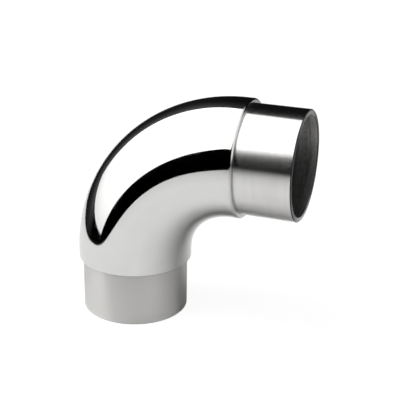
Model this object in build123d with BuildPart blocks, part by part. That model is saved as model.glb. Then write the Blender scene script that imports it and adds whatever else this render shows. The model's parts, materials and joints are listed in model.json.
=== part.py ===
from build123d import *
import os

# A cast stainless steel elbow that joins two handrail tubes at a right angle.
# Sizes are in millimetres. The origin is the centre of the lower end face:
# the lower leg stands along +Z, and the side leg points along +X.

# The tube that the elbow joins
tube_diameter = 42.4  # outside of the handrail tube, and of the elbow's body
tube_wall = 1.5  # wall of the handrail tube
slip_clearance = 0.1  # gap all round between a spigot and the tube it fits

# The elbow
bend_radius = 40.5  # of the body's centre line
straight_length = 3.0  # plain body between the bend and each shoulder
spigot_length = 20.0  # how far each spigot reaches into its tube
spigot_wall = 1.8  # metal between a spigot's outside and the bore
shoulder_round = 0.8  # outer edge of the shoulder that a tube butts against
spigot_chamfer = 0.3  # outer edge of a spigot's end face
bore_chamfer = 0.2  # inner edge of a spigot's end face

# Sizes that follow from these
body_radius = tube_diameter / 2
spigot_radius = body_radius - tube_wall - slip_clearance
bore_radius = spigot_radius - spigot_wall
leg_length = straight_length + spigot_length
reach = bend_radius + leg_length  # from either leg's axis to the other end face

# The planes of the two end faces, both looking out of the elbow
lower_end = Plane(origin=(0, 0, 0), x_dir=(1, 0, 0), z_dir=(0, 0, -1))
side_end = Plane(origin=(reach, 0, reach), x_dir=(0, 1, 0), z_dir=(1, 0, 0))

# The line that the quarter bend turns about
bend_axis = Axis(origin=(bend_radius, 0, leg_length), direction=(0, 1, 0))

with BuildPart() as elbow:
    # The quarter bend, hollow from the start
    with BuildSketch(lower_end.offset(-leg_length)):
        Circle(body_radius)
        Circle(bore_radius, mode=Mode.SUBTRACT)
    revolve(axis=bend_axis, revolution_arc=90)

    for end in (lower_end, side_end):
        # The short plain length of body that ends in the shoulder
        with BuildSketch(end.offset(-leg_length)):
            Circle(body_radius)
            Circle(bore_radius, mode=Mode.SUBTRACT)
        extrude(amount=straight_length)

        # The spigot, stepped down to slip inside the tube
        with BuildSketch(end.offset(-spigot_length)):
            Circle(spigot_radius)
            Circle(bore_radius, mode=Mode.SUBTRACT)
        extrude(amount=spigot_length)

    # Edges, found by where their circles lie along each leg
    rims = elbow.edges().filter_by(GeomType.CIRCLE)
    shoulder_height = spigot_length
    shoulder_reach = reach - spigot_length
    lower_shoulder = rims.filter_by_position(Axis.Z, shoulder_height, shoulder_height)
    side_shoulder = rims.filter_by_position(Axis.X, shoulder_reach, shoulder_reach)
    lower_rims = rims.filter_by_position(Axis.Z, 0, 0).sort_by(SortBy.RADIUS)
    side_rims = rims.filter_by_position(Axis.X, reach, reach).sort_by(SortBy.RADIUS)
    fillet([shoulder.sort_by(SortBy.RADIUS)[-1] for shoulder in (lower_shoulder, side_shoulder)],
           radius=shoulder_round)
    chamfer([lower_rims[-1], side_rims[-1]], length=spigot_chamfer)
    chamfer([lower_rims[0], side_rims[0]], length=bore_chamfer)

elbow.part.label = "elbow"

os.makedirs("parts", exist_ok=True)
export_step(elbow.part, "parts/elbow.step")
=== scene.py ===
"""Handrail elbow: a polished cast bend with two turned spigots, dressed on its CAD frame.

The elbow is one closed surface. The outline of its wall, drawn as distance along the leg and
radius, is carried along the bent centre line and turned right round it.
"""
import json
import math
from collections import namedtuple

import bpy
import numpy as np
from bpy.props import FloatProperty, FloatVectorProperty, IntProperty, PointerProperty
from mathutils import Matrix, Vector


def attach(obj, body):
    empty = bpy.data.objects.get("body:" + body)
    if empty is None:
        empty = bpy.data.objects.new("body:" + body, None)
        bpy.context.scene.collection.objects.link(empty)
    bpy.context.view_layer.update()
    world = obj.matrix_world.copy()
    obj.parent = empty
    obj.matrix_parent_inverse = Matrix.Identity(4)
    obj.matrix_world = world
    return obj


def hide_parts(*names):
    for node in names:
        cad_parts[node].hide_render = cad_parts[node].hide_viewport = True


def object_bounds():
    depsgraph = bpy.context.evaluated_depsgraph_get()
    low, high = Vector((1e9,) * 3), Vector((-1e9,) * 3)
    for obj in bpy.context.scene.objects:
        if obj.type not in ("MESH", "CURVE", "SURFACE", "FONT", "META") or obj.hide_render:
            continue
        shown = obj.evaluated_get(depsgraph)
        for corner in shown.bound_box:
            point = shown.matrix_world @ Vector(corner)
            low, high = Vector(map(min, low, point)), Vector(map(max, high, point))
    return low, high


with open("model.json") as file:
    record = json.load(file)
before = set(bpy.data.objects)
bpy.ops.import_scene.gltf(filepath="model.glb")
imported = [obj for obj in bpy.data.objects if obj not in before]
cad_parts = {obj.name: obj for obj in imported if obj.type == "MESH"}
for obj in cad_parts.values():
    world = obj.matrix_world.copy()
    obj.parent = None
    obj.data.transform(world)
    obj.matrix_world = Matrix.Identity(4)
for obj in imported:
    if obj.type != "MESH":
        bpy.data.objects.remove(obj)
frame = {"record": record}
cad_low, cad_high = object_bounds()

bl_info = {
    "name": "Handrail elbow",
    "version": (1, 0, 0),
    "blender": (4, 5, 0),
    "location": "3D View > Sidebar > Elbow",
    "description": "Builds a polished steel handrail elbow and the studio around it",
    "category": "Add Mesh",
}

NODE = "elbow"
BODY = "root"
STRAIGHT = "straight"  # attribute: the point's place if the elbow were straight
ALONG = "along"  # UV map: the outline's own length across, and the turn round the tube upwards
EDGE = "edge"  # attribute: 1 on a corner or rounded edge, falling to 0 away from it
ROOT = "root"  # attribute: 1 in the corner where a shoulder meets its spigot, falling to 0 away from it
WEAR_REACH, ROOT_SHADE_REACH = 0.0004, 0.0006  # metres in which the edge wear and the painted root shade each fall to about a third
SHARP_TURN = math.radians(20)
SMALL_STEP = 1e-4  # share of a run, to find which way it sets off or arrives
FINISHES = ("polished", "turned", "faced", "bored")

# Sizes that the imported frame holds
mounts = {mount["name"]: mount for mount in frame["record"]["mounts"]}
FRAME_BODY_RADIUS = cad_high[1]
FRAME_REACH = mounts["side_spigot"]["pos_m"][0]
FRAME_SPIGOT_RADIUS = mounts["lower_spigot"]["dims"]["r_mm"] / 1000
FRAME_SPIGOT_LENGTH = mounts["lower_shoulder"]["pos_m"][2]


class ElbowSizes(bpy.types.PropertyGroup):
    """Sizes of the casting, in metres."""

    body_radius: FloatProperty(
        name="Body radius", description="Outside of the bend, flush with the handrail tube",
        default=FRAME_BODY_RADIUS, unit="LENGTH")
    spigot_radius: FloatProperty(
        name="Spigot radius", description="Outside of the stepped ends",
        default=FRAME_SPIGOT_RADIUS, unit="LENGTH")
    spigot_length: FloatProperty(
        name="Spigot length", description="From a shoulder to the end face",
        default=FRAME_SPIGOT_LENGTH, unit="LENGTH")
    reach: FloatProperty(
        name="Reach", description="From one leg's axis to the other leg's end face",
        default=FRAME_REACH, unit="LENGTH")
    bend_radius: FloatProperty(
        name="Bend radius", description="Radius of the centre line's quarter turn",
        default=0.0405, unit="LENGTH")
    bore_radius: FloatProperty(
        name="Bore radius", description="The passage through the elbow",
        default=0.0178, unit="LENGTH")
    shoulder_round: FloatProperty(
        name="Shoulder round", description="Outer edge of each shoulder",
        default=0.0008, unit="LENGTH")
    spigot_chamfer: FloatProperty(
        name="Spigot chamfer", description="Outer edge break of an end face",
        default=0.0003, unit="LENGTH")
    bore_chamfer: FloatProperty(
        name="Bore chamfer", description="Inner edge break of an end face",
        default=0.0002, unit="LENGTH")
    around: IntProperty(
        name="Faces around", description="Faces once round the tube", default=256)
    bend_rows: IntProperty(
        name="Rows in the bend", description="Rows of faces in the outer quarter turn", default=96)


class SteelFinish(bpy.types.PropertyGroup):
    """Colours and finishes of the steel."""

    polished_colour: FloatVectorProperty(
        name="Polished steel", description="Colour of the mirror polished body",
        subtype="COLOR", size=3, default=(0.67, 0.67, 0.66))
    turned_colour: FloatVectorProperty(
        name="Turned steel", description="Colour of the satin spigots",
        subtype="COLOR", size=3, default=(0.68, 0.674, 0.66))
    faced_colour: FloatVectorProperty(
        name="Faced steel", description="Colour of the machined end faces",
        subtype="COLOR", size=3, default=(0.44, 0.435, 0.427))
    bored_colour: FloatVectorProperty(
        name="Bored steel", description="Colour inside the bore",
        subtype="COLOR", size=3, default=(0.72, 0.712, 0.70))
    worn_colour: FloatVectorProperty(
        name="Worn steel", description="Colour where edges are rubbed bright",
        subtype="COLOR", size=3, default=(0.80, 0.80, 0.79))
    polished_roughness: FloatProperty(
        name="Polish roughness", description="Least roughness of the mirror polish",
        default=0.04, subtype="FACTOR")
    turned_roughness: FloatProperty(
        name="Satin roughness", description="Least roughness of the turned spigots",
        default=0.17, subtype="FACTOR")
    lower_coarseness: FloatProperty(
        name="Lower spigot", description="How much rougher the lower spigot is turned",
        default=0.18, subtype="FACTOR")
    turned_anisotropy: FloatProperty(
        name="Satin direction", description="How far the turned rings stretch a highlight along the leg",
        default=0.85, subtype="FACTOR")
    faced_roughness: FloatProperty(
        name="End face roughness", description="Least roughness of the end faces",
        default=0.27, subtype="FACTOR")
    bored_roughness: FloatProperty(
        name="Bore roughness", description="Least roughness inside the bore",
        default=0.52, subtype="FACTOR")


class StudioSettings(bpy.types.PropertyGroup):
    """The camera, the softbox, the table, the surround and the lamp."""

    camera_azimuth: FloatProperty(
        name="Camera azimuth", description="Round from the front, towards the side leg",
        default=math.radians(19.597), subtype="ANGLE")
    camera_elevation: FloatProperty(
        name="Camera elevation", description="Above the horizon",
        default=math.radians(21.110), subtype="ANGLE")
    camera_roll: FloatProperty(
        name="Camera roll", description="Turn about the line of sight",
        default=math.radians(1.179), subtype="ANGLE")
    camera_distance: FloatProperty(
        name="Camera distance", description="From the aim point", default=0.3453, unit="LENGTH")
    camera_aim: FloatVectorProperty(
        name="Camera aim", description="Point in the middle of the view",
        size=3, default=(0.025848, -0.001142, 0.045820), subtype="TRANSLATION")
    camera_lens: FloatProperty(
        name="Lens", description="Focal length on a 36 mm sensor, in millimetres",
        default=86.347, unit="CAMERA")
    softbox_foot: FloatVectorProperty(
        name="Softbox foot", description="Low corner of the large lit panel, nearest the camera",
        size=3, default=(-1.183, -0.809, -0.397), subtype="TRANSLATION")
    softbox_head: FloatVectorProperty(
        name="Softbox head", description="High corner at the same side as the foot",
        size=3, default=(0.373, -0.657, 1.030), subtype="TRANSLATION")
    softbox_far_foot: FloatVectorProperty(
        name="Softbox far foot", description="Low corner on the far side",
        size=3, default=(-1.776, 0.620, 0.100), subtype="TRANSLATION")
    softbox_strength: FloatProperty(
        name="Softbox strength", description="How bright its face is", default=2.2)
    softbox_foot_share: FloatProperty(
        name="Softbox foot share", description="Brightness along its foot, as a share of the rest",
        default=0.55, subtype="FACTOR")
    table_tone: FloatProperty(
        name="Table tone", description="Grey of the pale table top", default=0.95)
    shade_middle: FloatVectorProperty(
        name="Shade middle", description="Middle of the soft shade on the table under the side leg",
        size=3, default=(0.068, -0.030, 0.0), subtype="TRANSLATION")
    shade_share: FloatProperty(
        name="Shade share", description="Brightness in the middle of that shade, as a share of the rest",
        default=0.86, subtype="FACTOR")
    world_strength: FloatProperty(
        name="World strength", description="Plain level of the surrounding light", default=0.19)
    wall_tone: FloatProperty(
        name="Wall tone", description="Brightness of the pale wall on the side leg's side", default=1.15)
    cloth_tone: FloatProperty(
        name="Cloth tone", description="Brightness of the dark cloth behind the elbow", default=0.012)
    spill_tone: FloatProperty(
        name="Spill tone", description="Light that spills on the cloth right beside the softbox",
        default=0.11)
    lamp_azimuth: FloatProperty(
        name="Lamp azimuth", description="Bearing of the lamp that lights the table",
        default=math.radians(-62), subtype="ANGLE")
    lamp_elevation: FloatProperty(
        name="Lamp elevation", description="Height of the lamp above the horizon",
        default=math.radians(54), subtype="ANGLE")
    lamp_distance: FloatProperty(
        name="Lamp distance", description="From the elbow", default=1.0, unit="LENGTH")
    lamp_size: FloatProperty(
        name="Lamp size", description="Side of its square face", default=1.0, unit="LENGTH")
    lamp_power: FloatProperty(
        name="Lamp power", description="In watts", default=12.9, subtype="POWER")


PROPERTY_GROUPS = {
    "elbow_sizes": ElbowSizes,
    "elbow_finish": SteelFinish,
    "elbow_studio": StudioSettings,
}


# Surfaces

# A stretch of the outline: its finish, its rows of faces, its curve for t from 0 to 1, and
# whether the rows crowd towards both its ends
Run = namedtuple("Run", "finish pieces curve crowded")


def line(start, end):
    """Straight line from start to end: start + (end - start) t."""
    start, end = np.array(start), np.array(end)
    return lambda t: start + np.multiply.outer(t, end - start)


def arc(centre, radius, start_angle, end_angle):
    """Part of a circle: centre + radius (cos a, sin a), where a runs evenly between its angles."""
    def curve(t):
        angle = start_angle + (end_angle - start_angle) * np.asarray(t)
        return np.array(centre) + radius * np.stack([np.cos(angle), np.sin(angle)], axis=-1)
    return curve


def mirrored(run, length):
    """A run as the other leg has it: traced backwards, with distance s put at length - s."""
    return run._replace(curve=lambda t: run.curve(1 - np.asarray(t)) * (-1, 1) + (length, 0))


def centre_line(size):
    """Length of each straight leg, and of the whole centre line."""
    leg = size.reach - size.bend_radius
    return leg, 2 * leg + size.bend_radius * math.pi / 2


def elbow_runs(size):
    """The wall's closed outline as runs of (distance along the elbow, radius)."""
    leg, length = centre_line(size)
    shoulder, body, spigot, bore = (
        size.spigot_length, size.body_radius, size.spigot_radius, size.bore_radius)
    edge, lip, rounding = size.spigot_chamfer, size.bore_chamfer, size.shoulder_round
    leg_runs = [
        Run("faced", 8, line((0, bore + lip), (0, spigot - edge)), True),
        Run("faced", 2, line((0, spigot - edge), (edge, spigot)), True),
        Run("turned", 26, line((edge, spigot), (shoulder, spigot)), True),
        Run("turned", 6, line((shoulder, spigot), (shoulder, body - rounding)), True),
        Run("polished", 10, arc((shoulder + rounding, body - rounding), rounding, math.pi, math.pi / 2),
            False),
        Run("polished", 8, line((shoulder + rounding, body), (leg, body)), True),
    ]
    bore_runs = [
        Run("bored", 12, line((leg, bore), (lip, bore)), True),
        Run("faced", 2, line((lip, bore), (0, bore + lip)), True),
    ]
    outer_bend = Run("polished", size.bend_rows, line((leg, body), (length - leg, body)), False)
    inner_bend = Run("bored", size.bend_rows * 2 // 3, line((length - leg, bore), (leg, bore)), False)
    return (
        leg_runs + [outer_bend] + [mirrored(run, length) for run in reversed(leg_runs)]
        + [mirrored(run, length) for run in reversed(bore_runs)] + [inner_bend] + bore_runs)


def trace_runs(runs):
    """Rows of the outline, with each row's finish, and whether the outline turns sharply there.

    Rows crowd towards both ends of a crowded run: t = (1 - cos(pi i / n)) / 2, so that the
    shading of a flat face isn't bent far in by the rounded edge beside it.
    """
    rows, finishes, corners = [], [], []
    for before, run in zip(runs[-1:] + runs[:-1], runs):
        share = np.arange(run.pieces) / run.pieces
        if run.crowded:
            share = (1 - np.cos(math.pi * share)) / 2
        rows.append(run.curve(share))
        finishes += [FINISHES.index(run.finish)] * run.pieces
        arriving = before.curve(1.0) - before.curve(1 - SMALL_STEP)
        leaving = run.curve(SMALL_STEP) - run.curve(0.0)
        cosine = arriving @ leaving / (np.linalg.norm(arriving) * np.linalg.norm(leaving))
        corners += [cosine < math.cos(SHARP_TURN)] + [False] * (run.pieces - 1)
    return np.concatenate(rows), np.array(finishes), np.array(corners)


def sweep(rows, around, size):
    """The outline carried along the centre line and round it.

    The centre line climbs one leg, turns through phi = (s - leg) / R from 0 to a quarter turn,
    and runs out along the other leg: C = (R (1 - cos phi) + the run out, 0, the climb + R sin phi).
    A point at radius r and angle theta is C + r (cos theta N + sin theta Y), where
    N = (-cos phi, 0, sin phi) points to the outside of the bend.
    """
    leg, _ = centre_line(size)
    along, radius = rows[:, :1], rows[:, 1:]
    phi = np.clip((along - leg) / size.bend_radius, 0, math.pi / 2)
    run_out = np.maximum(along - leg - size.bend_radius * math.pi / 2, 0)
    centre_x = size.bend_radius * (1 - np.cos(phi)) + run_out
    centre_z = np.minimum(along, leg) + size.bend_radius * np.sin(phi)
    theta = np.arange(around) * (2 * math.pi / around)
    outward, sideways = radius * np.cos(theta), radius * np.sin(theta)
    points = np.stack([
        centre_x - outward * np.cos(phi), sideways, centre_z + outward * np.sin(phi)], axis=-1)
    straight = np.stack([outward, sideways, along + 0 * outward], axis=-1)
    return points.reshape(-1, 3), straight.reshape(-1, 3)


def grid_faces(count, around):
    """Faces of a grid that closes on itself both ways: row i to i + 1, and column j to j + 1."""
    row, column = np.divmod(np.arange(count * around), around)
    next_row, next_column = (row + 1) % count, (column + 1) % around
    corners = [(row, column), (next_row, column), (next_row, next_column), (row, next_column)]
    return np.stack([i * around + j for i, j in corners], axis=1)


def unrolled(rows, around):
    """UV of every face corner: the length along the outline, and the share of the turn round it."""
    steps = np.linalg.norm(np.roll(rows, -1, axis=0) - rows, axis=1)
    length = np.concatenate([[0], np.cumsum(steps)]) / steps.sum()
    row, column = np.divmod(np.arange(len(rows) * around), around)
    across = np.stack([length[row], length[row + 1], length[row + 1], length[row]], axis=1)
    upwards = np.stack([column, column, column + 1, column + 1], axis=1) / around
    return np.stack([across, upwards], axis=-1)


def nearness(rows, chosen, reach):
    """How near each row lies to the chosen rows: exp(-distance / reach)."""
    gap = np.linalg.norm(rows[:, None] - rows[chosen][None], axis=2).min(axis=1)
    return np.exp(-gap / reach)


def build_elbow(size):
    """The whole elbow as one closed mesh, its finishes on their own faces."""
    rows, finishes, corners = trace_runs(elbow_runs(size))
    count, around = len(rows), size.around
    points, straight = sweep(rows, around, size)
    mesh = bpy.data.meshes.new("steel_elbow")
    mesh.from_pydata(points, [], grid_faces(count, around))
    mesh.shade_smooth()
    mesh.polygons.foreach_set("material_index", np.repeat(finishes, around).astype(np.int32))
    ends = np.empty(len(mesh.edges) * 2, dtype=np.int32)
    mesh.edges.foreach_get("vertices", ends)
    end_rows = ends.reshape(-1, 2) // around
    sharp = (end_rows[:, 0] == end_rows[:, 1]) & corners[end_rows[:, 0]]
    mesh.attributes.new("sharp_edge", "BOOLEAN", "EDGE").data.foreach_set("value", sharp)
    mesh.attributes.new(STRAIGHT, "FLOAT_VECTOR", "POINT").data.foreach_set(
        "vector", straight.astype(np.float32).ravel())
    mesh.uv_layers.new(name=ALONG).data.foreach_set(
        "uv", unrolled(rows, around).astype(np.float32).ravel())
    turned = finishes == FINISHES.index("turned")
    roots = corners & turned & np.roll(turned, 1)
    edges = (corners & ~roots) | (finishes == FINISHES.index("faced"))
    for name, chosen, reach in ((EDGE, edges, WEAR_REACH), (ROOT, roots, ROOT_SHADE_REACH)):
        shares = np.repeat(nearness(rows, chosen, reach), around)
        mesh.attributes.new(name, "FLOAT", "POINT").data.foreach_set("value", shares.astype(np.float32))
    mesh.update()
    return mesh


def add_object(name, data):
    """An object in the scene that holds this data, at the origin."""
    thing = bpy.data.objects.new(name, data)
    bpy.context.scene.collection.objects.link(thing)
    return thing


# Materials

BLACK, WHITE = (0, 0, 0, 1), (1, 1, 1, 1)

# Noise cells per metre
BAND_CELLS = (60.0, 60.0, 420.0)  # across, across and along the leg
FACE_CELLS = (90.0, 90.0, 90.0)
HAZE_CELLS, SWELL_CELLS, PATCH_CELLS, GRAIN_CELLS = 70.0, 85.0, 900.0, 900.0
STREAK_STRETCH = 0.04  # cells along a polishing streak, as a share of those across it

# Where most of a noise's values lie, and the part of one that shows as each mark
NOISE_LOW, NOISE_HIGH = 0.3, 0.7
HAZE_RANGE, STREAK_RANGE, PATCH_RANGE, CUT_RANGE = (0.40, 0.72), (0.55, 0.80), (0.35, 0.65), (0.60, 1.00)
LEAST_PATCH = 0.4  # how much wear is left between its patches

# Colour of each mark or place, as a share of the steel's own; the shares for the shoulder roots and for the
# end faces' sides are painted shade
HAZE_SHARE, BAND_SHARE, ROOT_SHADE_SHARE, LOWER_SHARE, FACE_SIDE_SHADE_SHARE = 0.96, 0.93, 0.65, 0.80, 0.08

# What each mark adds to the roughness
HAZE_ADDS, STREAKS_ADD, POLISHED_WEAR_ADDS = 0.035, 0.03, 0.10
RINGS_ADD, TURNED_WEAR_ADDS, CIRCLES_ADD, BORING_ADDS = 0.06, -0.06, 0.09, 0.16

# Heights that the bumps stand for, in metres
SWELL_HEIGHT, RING_HEIGHT, BORING_HEIGHT = 0.00002, 0.00003, 0.00006

# Painted shade: an end face darkens between these distances from the plane of the bend
FACE_LIT, FACE_DARK = 0.002, 0.012

# Painted light and shade in the bore: its tone falls this far in from a mouth, and from the outside of the
# bend to the inside
MOUTH_REACH, MOUTH_TONE, DEEP_TONE = 0.010, 1.4, 0.75
BORE_LIT, BORE_DARK, BORE_FALL, BORE_DARK_TONE = 0.008, -0.016, 2.2, 0.09
CUT_TONES = (0.45, 1.2)
GRAIN_TONE, GRAIN_HEIGHT = 0.6, 0.7  # how strongly its grain shows beside its rings


def put(tree, kind, inputs=None, **settings):
    """A new node with its settings, and its inputs linked or given a value."""
    node = tree.nodes.new(kind)
    for name, value in settings.items():
        setattr(node, name, value)
    for socket, value in (inputs or {}).items():
        if isinstance(value, bpy.types.NodeSocket):
            tree.links.new(value, node.inputs[socket])
        else:
            node.inputs[socket].default_value = value
    return node


def maths(tree, operation, *values):
    """The result of a Math node."""
    return put(tree, "ShaderNodeMath", dict(enumerate(values)), operation=operation).outputs[0]


def noise(tree, vector, **inputs):
    """The value of a Noise Texture at this vector."""
    values = {"Vector": vector}
    values.update({name.replace("_", " ").title(): value for name, value in inputs.items()})
    return put(tree, "ShaderNodeTexNoise", values).outputs[0]


def scaled(tree, vector, scale):
    """The vector with each part multiplied."""
    return put(tree, "ShaderNodeVectorMath", {0: vector, 1: scale}, operation="MULTIPLY").outputs[0]


def measured(tree, operation, *vectors):
    """The number that a Vector Math node makes of its vectors."""
    return put(tree, "ShaderNodeVectorMath", dict(enumerate(vectors)), operation=operation).outputs["Value"]


def object_place(tree):
    """The point's place on the object."""
    return put(tree, "ShaderNodeTexCoord").outputs["Object"]


def straight_place(tree):
    """The point's place if the elbow were straight."""
    return put(tree, "ShaderNodeAttribute", attribute_name=STRAIGHT).outputs["Vector"]


def remapped(tree, value, low, high, to_low, to_high):
    """The value's range from low to high, taken to a new range and held inside it."""
    return put(tree, "ShaderNodeMapRange", {
        "Value": value, "From Min": low, "From Max": high, "To Min": to_low, "To Max": to_high,
    }).outputs[0]


def between(tree, value, start, end):
    """How far the value has come from start to end, held to 0 and 1."""
    return remapped(tree, value, start, end, 0.0, 1.0)


def blended(tree, amount, first, second):
    """A colour between the two.

    The Mix node keeps sockets for each kind of data, and those for colours are 6, 7 and 2.
    """
    node = put(tree, "ShaderNodeMix", {0: amount, 6: first, 7: second}, data_type="RGBA")
    return node.outputs[2]


def new_group(name, inputs, outputs):
    """An empty shader node group with float sockets, its input node and its output node."""
    group = bpy.data.node_groups.new(name, "ShaderNodeTree")
    for label, default in inputs.items():
        socket = group.interface.new_socket(label, in_out="INPUT", socket_type="NodeSocketFloat")
        socket.default_value = default
    for label in outputs:
        group.interface.new_socket(label, in_out="OUTPUT", socket_type="NodeSocketFloat")
    return group, put(group, "NodeGroupInput"), put(group, "NodeGroupOutput")


def turning_marks_group():
    """Fine rings round the axis, as a turning tool leaves them, and slow unevenness between them."""
    group, given, result = new_group(
        "Turning marks", {"Rings per metre": 5000.0, "Length of a ring": 45.0}, ["Rings", "Bands"])
    place = straight_place(group)
    across, lengthwise = given.outputs["Length of a ring"], given.outputs["Rings per metre"]
    stretch = put(group, "ShaderNodeCombineXYZ", {0: across, 1: across, 2: lengthwise}).outputs[0]
    rings = noise(group, scaled(group, place, stretch), scale=1.0, detail=3.0, roughness=0.6)
    bands = noise(group, scaled(group, place, BAND_CELLS), scale=1.0, detail=2.0)
    group.links.new(rings, result.inputs["Rings"])
    group.links.new(bands, result.inputs["Bands"])
    return group


def facing_marks_group():
    """Circles about the axis on an end face, from the distance to the axis."""
    group, given, result = new_group("Facing marks", {"Circles per metre": 7000.0}, ["Circles"])
    place = straight_place(group)
    radius = measured(group, "LENGTH", scaled(group, place, (1.0, 1.0, 0.0)))
    across = maths(group, "MULTIPLY", radius, given.outputs["Circles per metre"])
    x, y, _ = put(group, "ShaderNodeSeparateXYZ", {0: scaled(group, place, FACE_CELLS)}).outputs
    spiral = put(group, "ShaderNodeCombineXYZ", {0: x, 1: y, 2: across}).outputs[0]
    group.links.new(noise(group, spiral, scale=1.0, detail=2.0), result.inputs["Circles"])
    return group


def polish_group():
    """What a buffing wheel leaves: faint streaks, soft haze, and a surface not quite even."""
    group, given, result = new_group("Polish", {"Streaks per metre": 2600.0}, ["Streaks", "Haze", "Swell"])
    solid = object_place(group)
    across = given.outputs["Streaks per metre"]
    lengthwise = maths(group, "MULTIPLY", across, STREAK_STRETCH)
    stretch = put(group, "ShaderNodeCombineXYZ", {0: across, 1: across, 2: lengthwise}).outputs[0]
    streaked = scaled(group, straight_place(group), stretch)
    streaks = noise(group, streaked, scale=1.0, detail=4.0, roughness=0.7)
    haze = noise(group, solid, scale=HAZE_CELLS, detail=4.0, roughness=0.55, distortion=0.4)
    swell = noise(group, solid, scale=SWELL_CELLS, detail=1.0)
    for label, value in (("Streaks", streaks), ("Haze", haze), ("Swell", swell)):
        group.links.new(value, result.inputs[label])
    return group


def edge_wear_and_root_shade_group():
    """Brightness rubbed into the edges, and painted shade in the roots, both broken up."""
    group, given, result = new_group("Edge wear", {"Amount": 1.0}, ["Wear", "Grime"])
    edge = put(group, "ShaderNodeAttribute", attribute_name=EDGE).outputs["Fac"]
    root = put(group, "ShaderNodeAttribute", attribute_name=ROOT).outputs["Fac"]
    broken = noise(group, object_place(group), scale=PATCH_CELLS, detail=4.0)
    patches = remapped(group, broken, *PATCH_RANGE, LEAST_PATCH, 1.0)
    worn = maths(group, "MULTIPLY", edge, patches)
    held = maths(group, "MULTIPLY", worn, given.outputs["Amount"])
    group.links.new(held, result.inputs["Wear"])
    # painted shade in the corner where a shoulder meets its spigot
    group.links.new(maths(group, "MULTIPLY", root, patches), result.inputs["Grime"])
    return group


def metal(finish_name, mesh):
    """A new material for the faces of this finish, with its Principled shader as bare metal."""
    material = bpy.data.materials.new(f"{finish_name}_steel")
    material.use_nodes = True
    mesh.materials.append(material)
    assert FINISHES[len(mesh.materials) - 1] == finish_name
    shader = material.node_tree.nodes["Principled BSDF"]
    shader.inputs["Metallic"].default_value = 1.0
    return material.node_tree, shader


def opaque(colour):
    """The colour with full alpha."""
    return (*colour, 1.0)


def darker(colour, share):
    """The colour brought down to a share of itself."""
    return opaque([part * share for part in colour])


def use_group(tree, group, **inputs):
    """The group placed in a material, with its own values."""
    node = put(tree, "ShaderNodeGroup", node_tree=group)
    for name, value in inputs.items():
        node.inputs[name.replace("_", " ")].default_value = value
    return node


def connect(tree, shader, **sources):
    """Links into the Principled shader's sockets."""
    for name, source in sources.items():
        tree.links.new(source, shader.inputs[name.replace("_", " ")])


def stretch_highlight(tree, shader, finish):
    """Highlights drawn out across fine rings or circles, as turned metal shows them."""
    lengthwise = put(tree, "ShaderNodeTangent", direction_type="UV_MAP", uv_map=ALONG)
    shader.inputs["Anisotropic"].default_value = finish.turned_anisotropy
    connect(tree, shader, Tangent=lengthwise.outputs[0])


def polished_steel(mesh, finish, groups):
    """Mirror polish with a trace of haze, streaks and swell."""
    tree, shader = metal("polished", mesh)
    polish = use_group(tree, groups["polish"])
    wear = use_group(tree, groups["wear"], Amount=0.6).outputs["Wear"]
    haze = between(tree, polish.outputs["Haze"], *HAZE_RANGE)
    streaks = between(tree, polish.outputs["Streaks"], *STREAK_RANGE)
    tone = blended(tree, haze, opaque(finish.polished_colour), darker(finish.polished_colour, HAZE_SHARE))
    colour = blended(tree, wear, tone, opaque(finish.worn_colour))
    base = maths(tree, "MULTIPLY_ADD", haze, HAZE_ADDS, finish.polished_roughness)
    scuffed = maths(tree, "MULTIPLY_ADD", streaks, STREAKS_ADD, base)
    rough = maths(tree, "MULTIPLY_ADD", wear, POLISHED_WEAR_ADDS, scuffed)
    bump = put(tree, "ShaderNodeBump", {
        "Height": polish.outputs["Swell"], "Distance": SWELL_HEIGHT, "Strength": 1.0})
    connect(tree, shader, Base_Color=colour, Roughness=rough, Normal=bump.outputs[0])


def turned_steel(mesh, finish, groups, middle):
    """Satin rings left by the turning tool; the spigot before the elbow's middle is darker and rougher."""
    tree, shader = metal("turned", mesh)
    marks = use_group(tree, groups["turning"])
    wear, root_shade = use_group(tree, groups["wear"], Amount=0.4).outputs
    bands = between(tree, marks.outputs["Bands"], NOISE_LOW, NOISE_HIGH)
    tone = blended(tree, bands, opaque(finish.turned_colour), darker(finish.turned_colour, BAND_SHARE))
    along = put(tree, "ShaderNodeSeparateXYZ", {0: straight_place(tree)}).outputs["Z"]
    lower = maths(tree, "LESS_THAN", along, middle)
    lower_darkened = blended(tree, lower, tone, darker(finish.turned_colour, LOWER_SHARE))
    bright = blended(tree, wear, lower_darkened, opaque(finish.worn_colour))
    # painted shade in the roots where a shoulder meets its spigot
    colour = blended(tree, root_shade, bright, darker(finish.turned_colour, ROOT_SHADE_SHARE))
    low = finish.turned_roughness
    base = remapped(tree, marks.outputs["Rings"], NOISE_LOW, NOISE_HIGH, low, low + RINGS_ADD)
    coarser = maths(tree, "MULTIPLY_ADD", lower, finish.lower_coarseness, base)
    rough = maths(tree, "MULTIPLY_ADD", wear, TURNED_WEAR_ADDS, coarser)
    bump = put(tree, "ShaderNodeBump", {
        "Height": marks.outputs["Rings"], "Distance": RING_HEIGHT, "Strength": 0.5})
    stretch_highlight(tree, shader, finish)
    connect(tree, shader, Base_Color=colour, Roughness=rough, Normal=bump.outputs[0])


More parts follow.
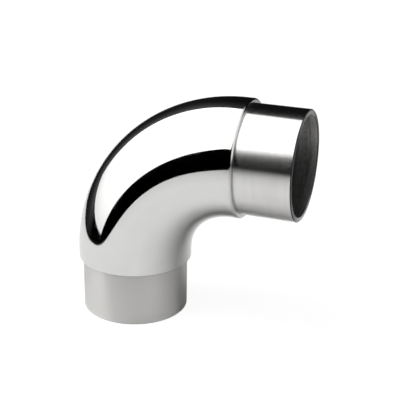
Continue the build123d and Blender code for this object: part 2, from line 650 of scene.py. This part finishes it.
def faced_steel(mesh, finish, groups):
    """End faces cut flat, with circles about the axis and rubbed corners, and painted shade at both sides.
    """
    tree, shader = metal("faced", mesh)
    marks = use_group(tree, groups["facing"])
    wear = use_group(tree, groups["wear"], Amount=0.12).outputs["Wear"]
    across = put(tree, "ShaderNodeSeparateXYZ", {0: straight_place(tree)}).outputs["Y"]
    # painted shade: the end face darkens towards both sides, away from the plane of the bend
    painted_side_shade = between(tree, maths(tree, "ABSOLUTE", across), FACE_LIT, FACE_DARK)
    worn = blended(tree, wear, opaque(finish.faced_colour), opaque(finish.worn_colour))
    colour = blended(tree, painted_side_shade, worn, darker(finish.faced_colour, FACE_SIDE_SHADE_SHARE))
    low = finish.faced_roughness
    rough = remapped(tree, marks.outputs["Circles"], NOISE_LOW, NOISE_HIGH, low, low + CIRCLES_ADD)
    bump = put(tree, "ShaderNodeBump", {
        "Height": marks.outputs["Circles"], "Distance": RING_HEIGHT, "Strength": 0.5})
    stretch_highlight(tree, shader, finish)
    connect(tree, shader, Base_Color=colour, Roughness=rough, Normal=bump.outputs[0])


def bored_steel(mesh, finish, groups, middle):
    """The bore: boring-bar rings in grainy metal, with painted light at the mouths and painted shade inside
    the bend.
    """
    tree, shader = metal("bored", mesh)
    marks = use_group(tree, groups["turning"], Rings_per_metre=900.0, Length_of_a_ring=30.0)
    outward, _, along = put(tree, "ShaderNodeSeparateXYZ", {0: straight_place(tree)}).outputs
    from_middle = maths(tree, "ABSOLUTE", maths(tree, "SUBTRACT", along, middle))
    # painted light near the mouths, painted shade deeper in
    painted_mouth_light = remapped(tree, from_middle, middle - MOUTH_REACH, middle, DEEP_TONE, MOUTH_TONE)
    # painted shade towards the inside of the bend
    rising = maths(tree, "POWER", between(tree, outward, BORE_DARK, BORE_LIT), BORE_FALL)
    painted_bend_shade = remapped(tree, rising, 0.0, 1.0, BORE_DARK_TONE, 1.0)
    grains = noise(tree, object_place(tree), scale=GRAIN_CELLS, detail=5.0, roughness=0.65)
    streaks = maths(tree, "MULTIPLY_ADD", grains, GRAIN_TONE, marks.outputs["Rings"])
    cut = remapped(tree, streaks, *CUT_RANGE, *CUT_TONES)
    tone = maths(tree, "MULTIPLY", maths(tree, "MULTIPLY", painted_bend_shade, cut), painted_mouth_light)
    colour = blended(tree, tone, BLACK, opaque(finish.bored_colour))
    low = finish.bored_roughness
    rough = remapped(tree, marks.outputs["Rings"], NOISE_LOW, NOISE_HIGH, low, low + BORING_ADDS)
    height = maths(tree, "MULTIPLY_ADD", grains, GRAIN_HEIGHT, marks.outputs["Rings"])
    bump = put(tree, "ShaderNodeBump", {"Height": height, "Distance": BORING_HEIGHT, "Strength": 0.7})
    connect(tree, shader, Base_Color=colour, Roughness=rough, Normal=bump.outputs[0])


# Studio

SENSOR_WIDTH = 36  # millimetres
NEAREST_SEEN = 0.01  # metres

# The softbox brightens between these shares of its height
SOFTBOX_DIM, SOFTBOX_FULL = 0.05, 0.45

# The table top: its curved left edge from front to back, and its other corners
TABLE_EDGE = (
    (-0.262, -1.076), (-0.134, -0.606), (-0.075, -0.355), (-0.059, -0.25), (-0.058, -0.15),
    (-0.066, -0.09), (-0.078, -0.064), (-0.102, -0.032), (-0.160, 0.06), (-0.175, 0.14),
    (-0.26, 0.30), (-0.40, 0.54))
TABLE_EDGE_PIECES = 8  # between two points of the edge
TABLE_CORNERS = ((-1.6, 2.6), (3.0, 3.0), (3.0, -2.5), (-0.65, -2.5))

# Painted fall-off of light on the table: its tone holds up to the reach, and x metres beyond it falls to 1 /
# (1 + fall x)
TABLE_REACH, TABLE_FALL = 0.10, 2.3
SHADE_CORE, SHADE_RIM = 0.010, 0.050  # distances from the shade's middle

# How much of the table is plain white to the camera, and how bright, near the elbow and far off
WHITE_SHARE = 0.80
WHITE_NEAR, WHITE_FAR = (0.12, 1.14), (0.50, 1.30)  # distance and strength

# The surround: its radius, and the elevations of its foot and top
SURROUND_RADIUS, SURROUND_LOW, SURROUND_HIGH = 3.5, math.radians(-60), math.radians(89)
SURROUND_ROUND, SURROUND_UP = 72, 24  # corners round it and up it

# Where the surround's tone changes, as shares of its radius
WALL_START, WALL_FULL = 0.75, 1.05  # of x + z
WALL_BACK, WALL_FRONT = 0.62, 0.45  # of y
SPILL_BESIDE, SPILL_BELOW = 0.45, 0.27  # how far it reaches past the softbox's far side and foot
SPILL_RIGHT, SPILL_LEFT = -0.30, -0.50  # of x
SPILL_FRONT, SPILL_BACK = -0.18, 0.08  # of y
SPILL_RIGHT_SHARE = 0.5  # what is left of the spill at its right
SPILL_FALL = 2.2  # power that the spill falls by


def direction(azimuth, elevation):
    """Unit vector (sin a cos e, -cos a cos e, sin e) for an azimuth and elevation, or grids of them."""
    level = np.cos(elevation)
    return np.stack([
        np.sin(azimuth) * level, -np.cos(azimuth) * level, np.sin(elevation) + 0 * azimuth], axis=-1)


def smooth_line(points, pieces):
    """A smooth line through the points, but for the first and last, which only steer its ends.

    Between b and c, with a before and d after, it is a cubic that runs parallel to a-c at b and
    to b-d at c: (2 b + (c - a) t + (2 a - 5 b + 4 c - d) t^2 + (3 b - a - 3 c + d) t^3) / 2.
    """
    points = np.array(points)
    a, b, c, d = (points[i:len(points) - 3 + i, None] for i in range(4))
    t = (np.arange(1, pieces + 1) / pieces)[:, None]
    cubic = (2 * b + (c - a) * t + (2 * a - 5 * b + 4 * c - d) * t**2
             + (3 * b - a - 3 * c + d) * t**3) / 2
    return np.concatenate([points[1:2], cubic.reshape(-1, 2)])


def table_outline():
    """Corners of the table top, in order round it."""
    outline = np.concatenate([smooth_line(TABLE_EDGE, TABLE_EDGE_PIECES), TABLE_CORNERS])
    return np.pad(outline, ((0, 0), (0, 1)))


def flat_panel(name, corners):
    """One flat face through these corners."""
    mesh = bpy.data.meshes.new(name)
    mesh.from_pydata([tuple(corner) for corner in corners], [], [tuple(range(len(corners)))])
    panel = add_object(name, mesh)
    return panel


def build_surround():
    """Part of a sphere round the studio, R (sin a cos e, -cos a cos e, sin e), open at its foot."""
    azimuth = np.linspace(-math.pi, math.pi, SURROUND_ROUND, endpoint=False)[:, None]
    elevation = np.linspace(SURROUND_LOW, SURROUND_HIGH, SURROUND_UP)[None, :]
    points = SURROUND_RADIUS * direction(azimuth, elevation)
    column, row = np.divmod(np.arange(SURROUND_ROUND * (SURROUND_UP - 1)), SURROUND_UP - 1)
    first = column * SURROUND_UP + row
    second = (column + 1) % SURROUND_ROUND * SURROUND_UP + row
    faces = np.stack([first, second, second + 1, first + 1], axis=1)
    mesh = bpy.data.meshes.new("surround")
    mesh.from_pydata(points.reshape(-1, 3), [], faces)
    surround = add_object("surround", mesh)
    return surround


def softbox_corners(studio):
    """The softbox's corners in order round it: foot, head, far head and far foot."""
    foot, head, far_foot = (
        Vector(studio.softbox_foot), Vector(studio.softbox_head), Vector(studio.softbox_far_foot))
    return foot, head, head + far_foot - foot, far_foot


def build_softbox(studio):
    """The lit panel, with a UV map whose u climbs from its foot to its head."""
    softbox = flat_panel("softbox", softbox_corners(studio))
    softbox.data.uv_layers.new(name="face").data.foreach_set("uv", (0, 0, 1, 0, 1, 1, 0, 1))
    return softbox


def bare_material(name):
    """A new material with no nodes, and its node tree."""
    material = bpy.data.materials.new(name)
    material.use_nodes = True
    material.node_tree.nodes.clear()
    return material, material.node_tree


def white_light(tree, strength):
    """A shader that gives white light of this strength."""
    return put(tree, "ShaderNodeEmission", {"Color": WHITE, "Strength": strength}).outputs[0]


def softbox_material(studio):
    """White diffuser, dimmer along its foot than over the rest of its face."""
    material, tree = bare_material("softbox_face")
    face = put(tree, "ShaderNodeTexCoord").outputs["UV"]
    upwards = put(tree, "ShaderNodeSeparateXYZ", {0: face}).outputs["X"]
    full = studio.softbox_strength
    strength = remapped(tree, upwards, SOFTBOX_DIM, SOFTBOX_FULL, full * studio.softbox_foot_share, full)
    put(tree, "ShaderNodeOutputMaterial", {"Surface": white_light(tree, strength)})
    return material


def hide_from_camera(thing):
    """Keep the object out of the camera's sight, and its light and shade off the table."""
    thing.visible_camera = False
    thing.visible_diffuse = False
    thing.visible_shadow = False


def place_camera(studio):
    """The camera at the photograph's angle, framed by its lens alone."""
    azimuth, roll = studio.camera_azimuth, studio.camera_roll
    back = Vector(direction(azimuth, studio.camera_elevation))
    level = Vector((math.cos(azimuth), math.sin(azimuth), 0))
    upright = back.cross(level)
    right = level * math.cos(roll) + upright * math.sin(roll)
    up = upright * math.cos(roll) - level * math.sin(roll)
    data = bpy.data.cameras.new("camera")
    data.sensor_width = SENSOR_WIDTH
    data.lens = studio.camera_lens
    data.clip_start = NEAREST_SEEN
    camera = add_object("camera", data)
    pose = Matrix((right, up, back)).transposed().to_4x4()
    pose.translation = Vector(studio.camera_aim) + back * studio.camera_distance
    camera.matrix_world = pose
    bpy.context.scene.camera = camera


def place_lamp(studio):
    """The softbox's own light on the table, as a square lamp that the metal doesn't mirror."""
    away = Vector(direction(studio.lamp_azimuth, studio.lamp_elevation))
    data = bpy.data.lights.new("lamp", "AREA")
    data.size = studio.lamp_size
    data.energy = studio.lamp_power
    lamp = add_object("lamp", data)
    lamp.location = away * studio.lamp_distance
    lamp.rotation_euler = away.to_track_quat("Z", "Y").to_euler()
    lamp.visible_glossy = False


def light_world(studio):
    """White to the camera and to metal, and a plain level of light for everything else."""
    world = bpy.data.worlds.new("white")
    world.use_nodes = True
    tree = world.node_tree
    tree.nodes.clear()
    rays = put(tree, "ShaderNodeLightPath")
    shown = maths(tree, "MAXIMUM", rays.outputs["Is Camera Ray"], rays.outputs["Is Glossy Ray"])
    seen = maths(tree, "MAXIMUM", shown, rays.outputs["Is Transmission Ray"])
    strength = remapped(tree, seen, 0.0, 1.0, studio.world_strength, 1.0)
    sky = put(tree, "ShaderNodeBackground", {"Color": WHITE, "Strength": strength})
    put(tree, "ShaderNodeOutputWorld", {"Surface": sky.outputs[0]})
    bpy.context.scene.world = world


def table_material(studio):
    """Pale table top.

    The camera sees it nearly white, a little less where something shades it. The metal mirrors
    a grey with a painted fall-off of light with distance, and a painted soft shade under the side leg.
    """
    material, tree = bare_material("pale_table")
    place = object_place(tree)
    away = measured(tree, "LENGTH", place)
    beyond = maths(tree, "MAXIMUM", maths(tree, "SUBTRACT", away, TABLE_REACH), 0.0)
    # painted fall-off of light with distance
    painted_falloff = maths(tree, "DIVIDE", studio.table_tone, maths(tree, "MULTIPLY_ADD", beyond, TABLE_FALL, 1.0))
    from_shade = measured(tree, "DISTANCE", place, Vector(studio.shade_middle))
    shaded = remapped(tree, from_shade, SHADE_CORE, SHADE_RIM, studio.shade_share, 1.0)
    top = put(tree, "ShaderNodeBsdfDiffuse", {"Color": maths(tree, "MULTIPLY", painted_falloff, shaded)})
    (near, near_shine), (far, far_shine) = WHITE_NEAR, WHITE_FAR
    white = white_light(tree, remapped(tree, away, near, far, near_shine, far_shine))
    rays = put(tree, "ShaderNodeLightPath")
    share = maths(tree, "MULTIPLY", rays.outputs["Is Camera Ray"], WHITE_SHARE)
    mixed = put(tree, "ShaderNodeMixShader", {0: share, 1: top.outputs[0], 2: white})
    put(tree, "ShaderNodeOutputMaterial", {"Surface": mixed.outputs[0]})
    return material


def surround_material(studio):
    """Dark cloth, with a pale wall on the side leg's side and light spilt on it round the softbox.

    The softbox's far side and its foot each lie in a plane through the origin. The spill is
    (1 - d)^SPILL_FALL, where d is the greater of the distances past the two planes, each as a
    share of how far the spill reaches past it.
    """
    material, tree = bare_material("surround")
    place = scaled(tree, object_place(tree), (1 / SURROUND_RADIUS,) * 3)
    x, y, z = put(tree, "ShaderNodeSeparateXYZ", {0: place}).outputs
    sideways = between(tree, maths(tree, "ADD", x, z), WALL_START, WALL_FULL)
    wall = maths(tree, "MULTIPLY", sideways, remapped(tree, y, WALL_BACK, WALL_FRONT, 0.0, studio.wall_tone))
    foot, _, far_head, far_foot = softbox_corners(studio)
    past_side = measured(tree, "DOT_PRODUCT", place, far_foot.cross(far_head).normalized() / SPILL_BESIDE)
    past_foot = measured(tree, "DOT_PRODUCT", place, foot.cross(far_foot).normalized() / SPILL_BELOW)
    close = between(tree, maths(tree, "MAXIMUM", past_side, past_foot), 1.0, 0.0)
    spill = maths(tree, "MULTIPLY", maths(tree, "POWER", close, SPILL_FALL), studio.spill_tone)
    cloth = maths(tree, "ADD", spill, studio.cloth_tone)
    leftwards = remapped(tree, x, SPILL_RIGHT, SPILL_LEFT, SPILL_RIGHT_SHARE, 1.0)
    backwards = between(tree, y, SPILL_FRONT, SPILL_BACK)
    lit = maths(tree, "MULTIPLY", leftwards, backwards)
    strength = maths(tree, "MULTIPLY_ADD", lit, cloth, wall)
    put(tree, "ShaderNodeOutputMaterial", {"Surface": white_light(tree, strength)})
    return material


# Operators

class MESH_OT_steel_elbow(bpy.types.Operator):
    """Build the elbow's surface and give it its four finishes"""

    bl_idname = "mesh.steel_elbow"
    bl_label = "Steel Elbow"

    def execute(self, context):
        sizes, finish = context.scene.elbow_sizes, context.scene.elbow_finish
        mesh = build_elbow(sizes)
        groups = {
            "turning": turning_marks_group(),
            "facing": facing_marks_group(),
            "polish": polish_group(),
            "wear": edge_wear_and_root_shade_group(),
        }
        _, length = centre_line(sizes)
        polished_steel(mesh, finish, groups)
        turned_steel(mesh, finish, groups, length / 2)
        faced_steel(mesh, finish, groups)
        bored_steel(mesh, finish, groups, length / 2)
        piece = add_object("steel_elbow", mesh)
        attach(piece, BODY)
        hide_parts(NODE)
        return {"FINISHED"}


class SCENE_OT_elbow_studio(bpy.types.Operator):
    """Set up the camera, the world, the lamp, the table, the softbox and the surround"""

    bl_idname = "scene.elbow_studio"
    bl_label = "Elbow Studio"

    def execute(self, context):
        studio = context.scene.elbow_studio
        place_camera(studio)
        light_world(studio)
        place_lamp(studio)

        table = flat_panel("table", table_outline())
        table.data.materials.append(table_material(studio))

        softbox = build_softbox(studio)
        softbox.data.materials.append(softbox_material(studio))
        hide_from_camera(softbox)

        surround = build_surround()
        surround.data.materials.append(surround_material(studio))
        hide_from_camera(surround)
        return {"FINISHED"}


class VIEW3D_PT_elbow(bpy.types.Panel):
    """Sizes, finishes and studio settings, and the buttons that build them"""

    bl_label = "Handrail Elbow"
    bl_space_type = "VIEW_3D"
    bl_region_type = "UI"
    bl_category = "Elbow"

    def draw(self, context):
        for operator in OPERATORS:
            self.layout.operator(operator.bl_idname)
        for name, group in PROPERTY_GROUPS.items():
            box = self.layout.box()
            for setting in group.__annotations__:
                box.prop(getattr(context.scene, name), setting)


OPERATORS = (MESH_OT_steel_elbow, SCENE_OT_elbow_studio)
CLASSES = (*PROPERTY_GROUPS.values(), *OPERATORS, VIEW3D_PT_elbow)


def register():
    """Add the classes, and their settings to every scene."""
    for cls in CLASSES:
        bpy.utils.register_class(cls)
    for name, group in PROPERTY_GROUPS.items():
        setattr(bpy.types.Scene, name, PointerProperty(type=group))


def unregister():
    """Take the settings and the classes away again."""
    for name in PROPERTY_GROUPS:
        delattr(bpy.types.Scene, name)
    for cls in reversed(CLASSES):
        bpy.utils.unregister_class(cls)


def main():
    """Build the elbow and its studio."""
    register()
    bpy.context.scene.view_settings.view_transform = "Standard"
    bpy.ops.mesh.steel_elbow()
    bpy.ops.scene.elbow_studio()


if __name__ == "__main__":
    main()
